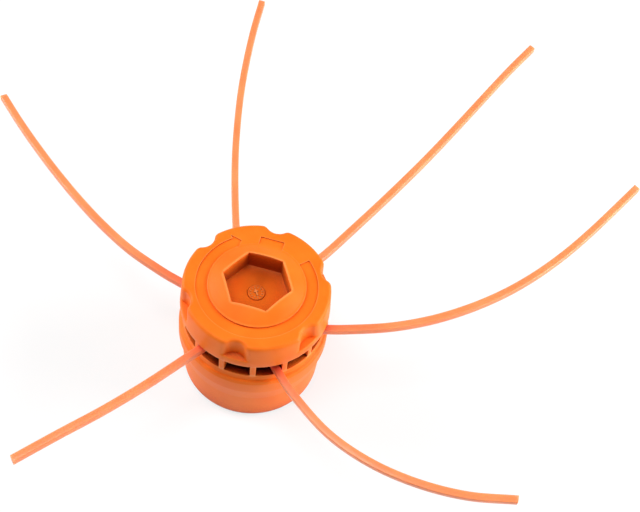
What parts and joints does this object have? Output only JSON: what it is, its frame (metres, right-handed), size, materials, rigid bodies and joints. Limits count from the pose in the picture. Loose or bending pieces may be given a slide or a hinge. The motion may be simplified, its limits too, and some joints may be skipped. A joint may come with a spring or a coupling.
{
  "type": "string trimmer head",
  "caption": "Moulded string trimmer head with a screw cap and three square nylon lines laid through side windows, for a brush cutter spindle.",
  "frame": {"origin": "centre of the gearbox face, on the spindle axis", "axes": "+Z along the spindle axis from the gearbox face to the cap, +Y towards the sunk rectangle on the cap at rest"},
  "size_m": [0.3773, 0.3654, 0.0783],
  "materials": {
    "head_plastic": "moulded orange nylon with a fine eggshell texture",
    "line_nylon": "extruded orange nylon line, slightly see-through",
    "zinc_steel": "zinc plated steel"
  },
  "bodies": {
    "head": {"base_housing": "head_plastic", "drive_nut": "zinc_steel", "cutting_line_1": "line_nylon", "cutting_line_2": "line_nylon", "cutting_line_3": "line_nylon"},
    "plate": {"pressure_plate": "head_plastic"},
    "cap": {"cap_knob": "head_plastic"}
  },
  "joints": [
    {"name": "plate_lift", "type": "slide", "parent": "head", "child": "plate", "axis": [0, 0, 1], "range_m": [0, 0.008]},
    {"name": "cap_turn", "type": "hinge", "parent": "plate", "child": "cap", "pos_m": [0, 0, 0.0734], "axis": [0, 0, 1], "range_deg": [0, 720]}
  ],
  "couplings": [
    {"joint": "plate_lift", "follows": "cap_turn", "m_per_rad": 0.0006366}
  ]
}
